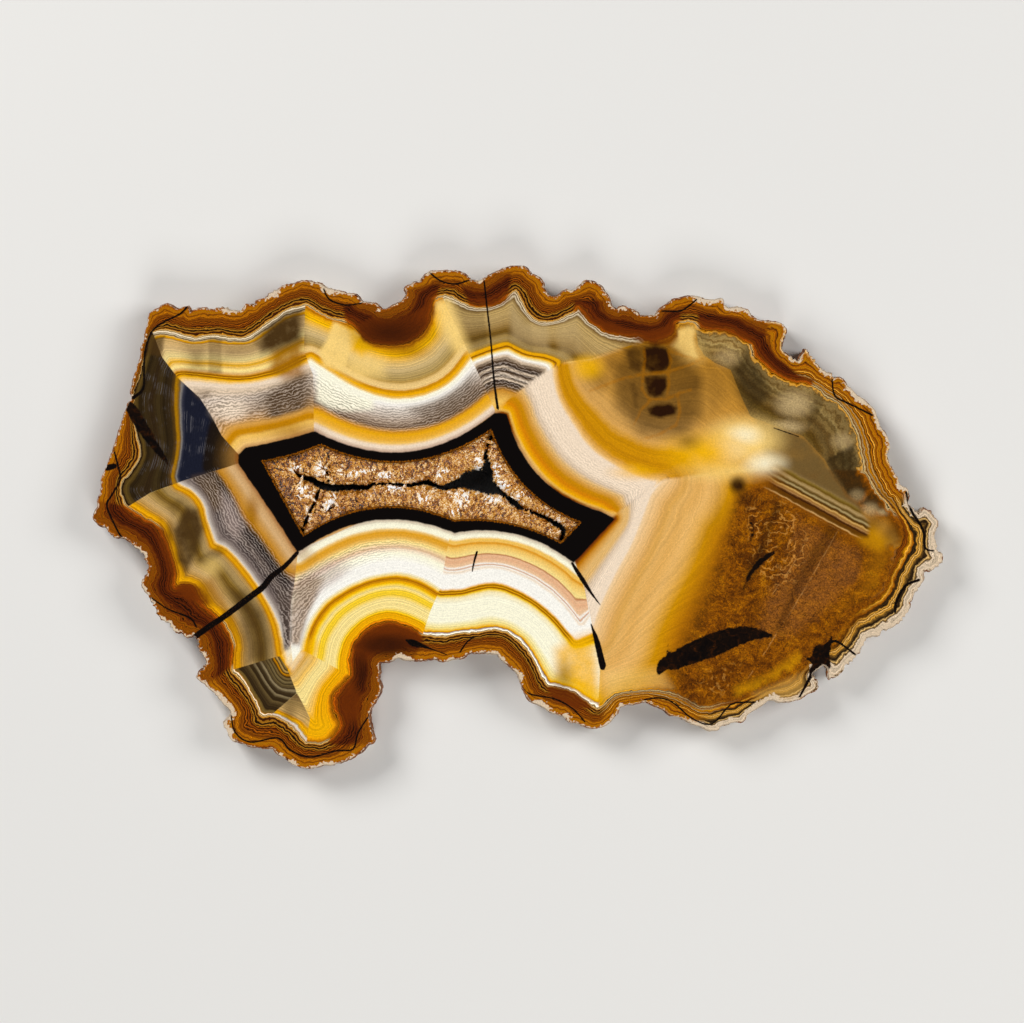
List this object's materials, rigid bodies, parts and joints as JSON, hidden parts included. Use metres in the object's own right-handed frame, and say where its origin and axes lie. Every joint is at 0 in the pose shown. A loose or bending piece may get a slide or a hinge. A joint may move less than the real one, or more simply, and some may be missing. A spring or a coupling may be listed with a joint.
{
  "type": "polished agate slice",
  "caption": "Thin polished slice of a banded agate nodule with a rough natural rim and a quartz-lined hollow, split by a branching gap.",
  "frame": {"origin": "centre of the bounding box, on the surface that the slice rests on", "axes": "+X along the slice's length, +Y across it towards the upper edge in the picture, +Z out of the polished front face"},
  "size_m": [0.1278, 0.0758, 0.005],
  "materials": {
    "banded_agate": "polished faces, rough natural rim",
    "quartz": "glossy crystals"
  },
  "bodies": {
    "root": {"agate_slice": "banded_agate", "quartz_crust": "quartz"}
  },
  "joints": []
}
